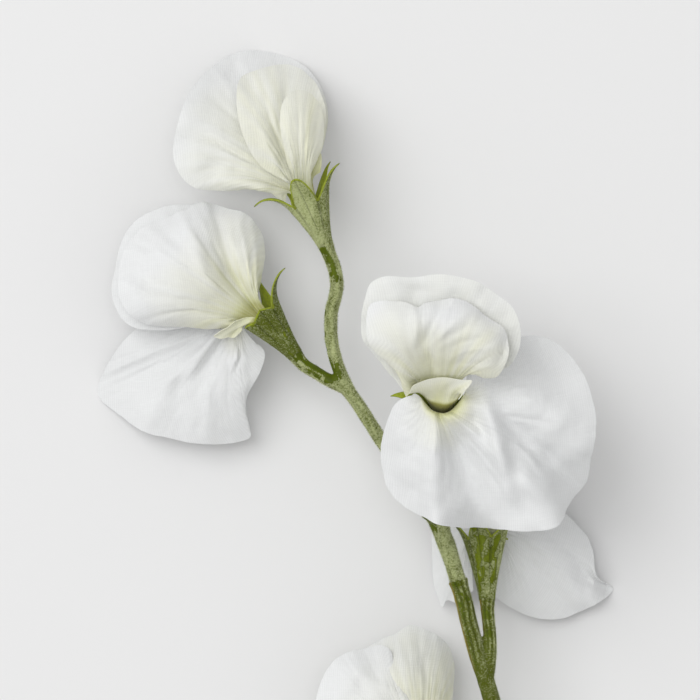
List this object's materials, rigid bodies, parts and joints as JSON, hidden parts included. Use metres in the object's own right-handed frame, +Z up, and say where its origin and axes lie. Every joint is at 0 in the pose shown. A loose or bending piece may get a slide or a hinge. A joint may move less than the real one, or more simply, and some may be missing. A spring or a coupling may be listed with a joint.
{
  "type": "artificial sweet pea spray",
  "caption": "Cut stem of white fabric sweet pea blossoms on a flocked green stem, lying on a surface as it would rest.",
  "frame": {"origin": "centre of the spray's footprint, on the surface that it lies on", "axes": "+Z up from the surface, +Y along the stem from the cut end to the top blossom, +X to the right as seen from above with the top blossom away from the viewer"},
  "size_m": [0.1287, 0.2751, 0.0627],
  "materials": {
    "petal_fabric": "fine plain-weave fabric, off-white, tinted cream to pale yellow-green towards each petal's base",
    "flocked_calyx": "moulded soft plastic, sage green with a short pale flock and darker bare patches",
    "flocked_stem": "moulded soft plastic over wire, sage green, pale flock in patches, darker green where the flock is worn"
  },
  "bodies": {
    "root": {"stem_lower": "flocked_stem", "stem_upper": "flocked_stem", "calyx_top": "flocked_calyx", "banner_top": "petal_fabric", "wings_top": "petal_fabric", "tongue_top": "petal_fabric", "keel_top": "petal_fabric", "calyx_left": "flocked_calyx", "banner_left": "petal_fabric", "wings_left": "petal_fabric", "keel_left": "petal_fabric", "tongue_left": "petal_fabric", "calyx_front": "flocked_calyx", "wings_front": "petal_fabric", "keel_front": "petal_fabric", "tongue_front": "petal_fabric", "banner_front": "petal_fabric", "calyx_rear": "flocked_calyx", "banner_rear": "petal_fabric", "wings_rear": "petal_fabric", "keel_rear": "petal_fabric", "calyx_low": "flocked_calyx", "banner_low": "petal_fabric", "wings_low": "petal_fabric", "keel_low": "petal_fabric"}
  },
  "joints": []
}
